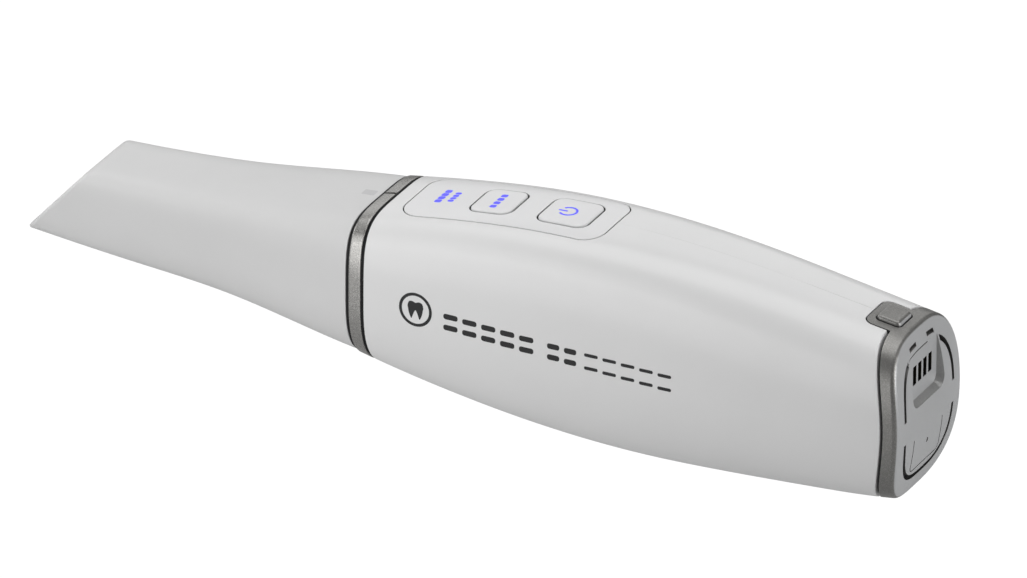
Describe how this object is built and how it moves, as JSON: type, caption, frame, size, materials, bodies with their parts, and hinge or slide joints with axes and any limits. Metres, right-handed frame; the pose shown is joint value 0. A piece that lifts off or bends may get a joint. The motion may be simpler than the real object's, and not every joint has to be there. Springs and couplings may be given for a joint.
{
  "type": "intraoral scanner",
  "caption": "Handheld wireless intraoral camera: tapered slide-off mirror tip, rounded two-shell housing with a keypad, and a slide-out battery with a metal end cap.",
  "frame": {"origin": "centre of the tip seat: the front face of the collar ring, on the axis through the ring", "axes": "-X towards the mirror tip, +X towards the battery end, +Z towards the keypad, -Y is the right shell"},
  "size_m": [0.229, 0.038, 0.0556],
  "materials": {
    "tip_plastic": "satin moulded plastic, light grey",
    "body_plastic": "glossy moulded plastic, near white",
    "panel_plastic": "satin-gloss moulded plastic, near white",
    "key_plastic": "satin-gloss moulded plastic, near white",
    "collar_metal": "dark silver metallic coating with fine flake",
    "cap_metal": "dark silver metallic coating, satin",
    "status_clear": "clear light bars",
    "black_rubber": "matte black",
    "black_plastic": "matte black moulded plastic",
    "grey_plastic": "matte grey moulded plastic",
    "optical_glass": "coated optical glass",
    "mirror_glass": "front-surface mirror",
    "anodised_black": "black anodised aluminium",
    "bare_aluminium": "milled aluminium",
    "circuit_board": "solder-masked board",
    "chip_black": "moulded chip packages",
    "gold_contact": "gold-plated contacts",
    "steel": "plain steel",
    "amber_flex": "polyimide film",
    "cell_wrap": "shrink wrap over a steel can"
  },
  "bodies": {
    "housing": {"collar_ring": "collar_metal", "collar_front_gasket": "black_rubber", "collar_rear_gasket": "black_rubber", "nose_barrel": "black_plastic", "nose_window": "optical_glass", "nose_contact_pins": "gold_contact", "tip_seal_ring": "black_rubber", "optical_chassis": "anodised_black", "camera_barrels": "anodised_black", "camera_front_lenses": "optical_glass", "camera_rear_lenses": "optical_glass", "camera_sensors": "chip_black", "camera_board": "circuit_board", "projector_barrel": "anodised_black", "projector_lenses": "optical_glass", "light_engine_housing": "anodised_black", "pattern_slide": "optical_glass", "condenser_lens": "optical_glass", "projector_led": "status_clear", "projector_led_board": "bare_aluminium", "heat_sink": "bare_aluminium", "fan_frame": "black_plastic", "fan_screws": "steel", "inner_frame": "grey_plastic", "main_board": "circuit_board", "board_screws": "steel", "processor_shield": "steel", "wireless_module": "steel", "antenna_strip": "amber_flex", "board_connectors": "black_plastic", "body_shell_left": "body_plastic", "body_shell_right": "body_plastic", "keypad_panel": "panel_plastic", "status_lenses": "status_clear", "tact_switches": "steel", "keypad_board": "circuit_board", "status_leds": "status_clear", "battery_bay": "grey_plastic", "battery_contact_block": "black_plastic", "battery_spring_pins": "gold_contact"},
    "tip": {"tip_shell": "tip_plastic", "tip_mirror": "mirror_glass", "mirror_heater": "amber_flex", "heater_flex": "amber_flex", "tip_contact_pads": "gold_contact"},
    "fan": {"fan_rotor": "black_plastic"},
    "mode_key": {"mode_button": "key_plastic"},
    "power_key": {"power_button": "key_plastic"},
    "battery_pack": {"battery_case": "black_plastic", "battery_cell": "cell_wrap", "protection_board": "circuit_board", "pack_contact_pads": "gold_contact", "end_cap": "cap_metal", "cap_frame": "black_plastic", "charge_contact_block": "black_plastic", "charge_contacts": "gold_contact", "battery_gasket": "black_rubber", "latch_spring": "steel"},
    "latch": {"release_button": "cap_metal", "latch_lever": "black_plastic"}
  },
  "joints": [
    {"name": "tip_slide", "type": "slide", "parent": "housing", "child": "tip", "axis": [-1, 0, 0], "range_m": [0, 0.045]},
    {"name": "battery_slide", "type": "slide", "parent": "housing", "child": "battery_pack", "axis": [1, 0, 0], "range_m": [0, 0.08]},
    {"name": "release_press", "type": "slide", "parent": "battery_pack", "child": "latch", "axis": [0, 0, -1], "range_m": [0, 0.0012], "stiffness_N_per_m": 900, "deforming": ["latch_spring"]},
    {"name": "mode_press", "type": "slide", "parent": "housing", "child": "mode_key", "axis": [0, 0, -1], "range_m": [0, 0.0005], "stiffness_N_per_m": 700},
    {"name": "power_press", "type": "slide", "parent": "housing", "child": "power_key", "axis": [0, 0, -1], "range_m": [0, 0.0005], "stiffness_N_per_m": 700},
    {"name": "fan_spin", "type": "hinge", "parent": "housing", "child": "fan", "pos_m": [0.026, 0, 0.0008], "axis": [1, 0, 0], "continuous": true}
  ]
}
